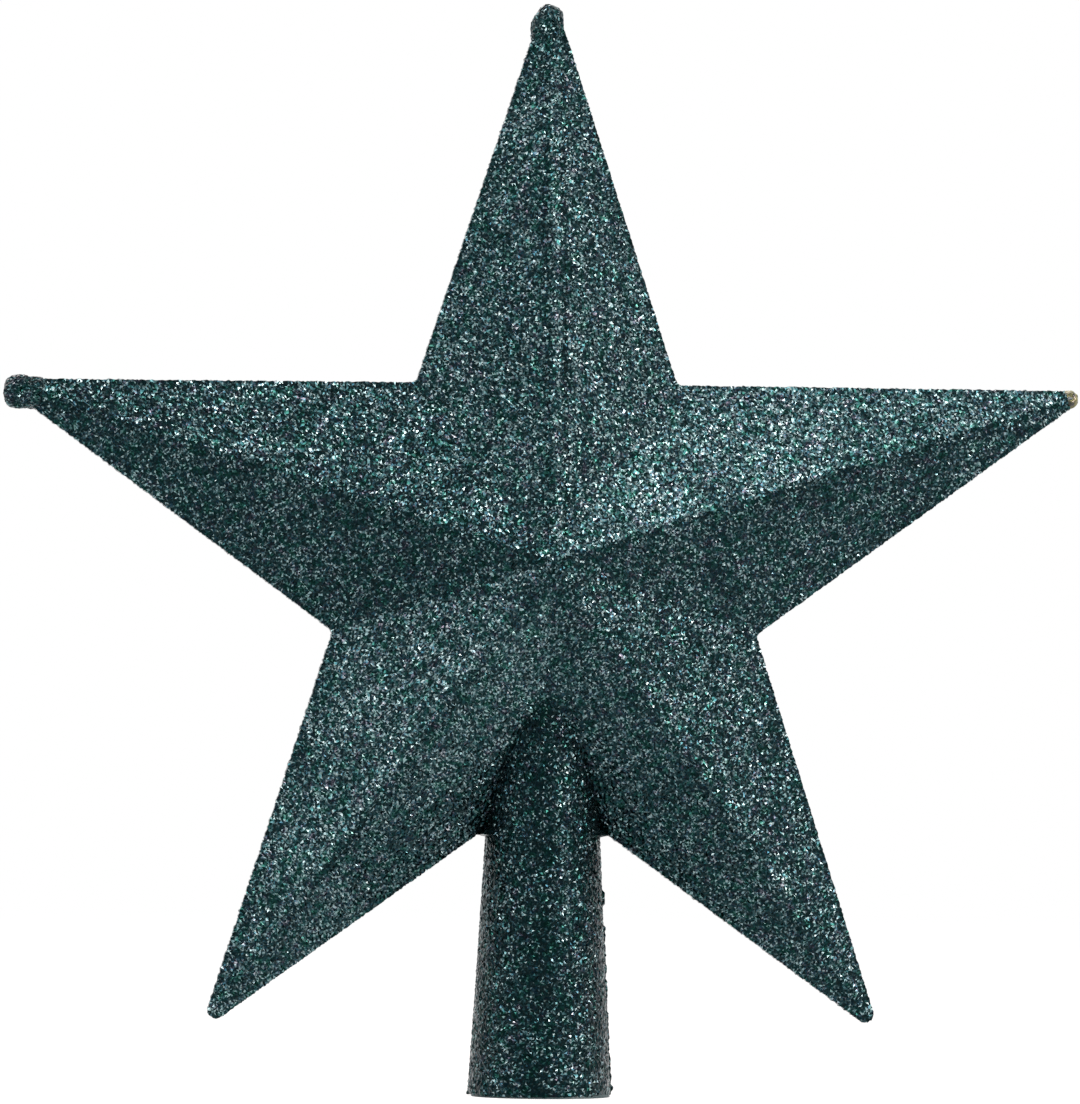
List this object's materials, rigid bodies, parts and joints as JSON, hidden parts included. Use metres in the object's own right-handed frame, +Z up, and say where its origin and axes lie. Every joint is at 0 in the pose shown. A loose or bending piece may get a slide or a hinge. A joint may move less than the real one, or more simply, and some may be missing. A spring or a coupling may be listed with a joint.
{
  "type": "tree topper",
  "caption": "Hollow faceted star with a glitter coat on a tapered tube that slips over the top of a Christmas tree.",
  "frame": {"origin": "centre of the stem's open mouth, where the tree's leader goes in", "axes": "+Z up the stem to the top tip, +X across to the right-hand tip seen from the front, -Y towards the front"},
  "size_m": [0.1873, 0.04, 0.1898],
  "materials": {
    "moulded_plastic": "bare dark teal moulded plastic, seen only inside the mouth",
    "glitter": "fine dark teal glitter set in clear adhesive",
    "dried_adhesive": "bare dried adhesive, glossy and yellowish"
  },
  "bodies": {
    "root": {"front_shell": "moulded_plastic", "rear_shell": "moulded_plastic", "glitter_coat": "glitter", "top_tip_bead": "glitter", "left_tip_bead": "glitter", "right_tip_bead": "dried_adhesive"}
  },
  "joints": []
}
